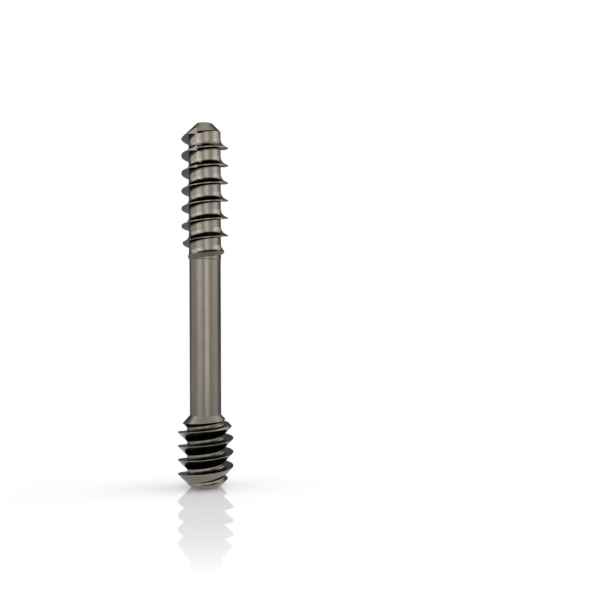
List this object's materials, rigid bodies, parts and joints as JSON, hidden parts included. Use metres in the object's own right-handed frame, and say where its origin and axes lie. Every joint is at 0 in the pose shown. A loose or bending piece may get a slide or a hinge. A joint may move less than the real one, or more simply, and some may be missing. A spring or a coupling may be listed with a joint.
{
  "type": "cannulated compression screw",
  "caption": "Headless cannulated compression screw: coarse fluted thread at the tip, plain shaft, finer and wider thread on the head, hexagonal socket and a guide-wire bore right through.",
  "frame": {"origin": "centre of the flat end of the head, on the screw's axis, where the screw stands", "axes": "+Z along the screw's axis from the head to the tip; the front faces -Y"},
  "size_m": [0.0082, 0.0082, 0.0547],
  "materials": {
    "titanium_alloy": "satin, turned and anodised grey titanium alloy"
  },
  "bodies": {
    "root": {"screw": "titanium_alloy"}
  },
  "joints": []
}
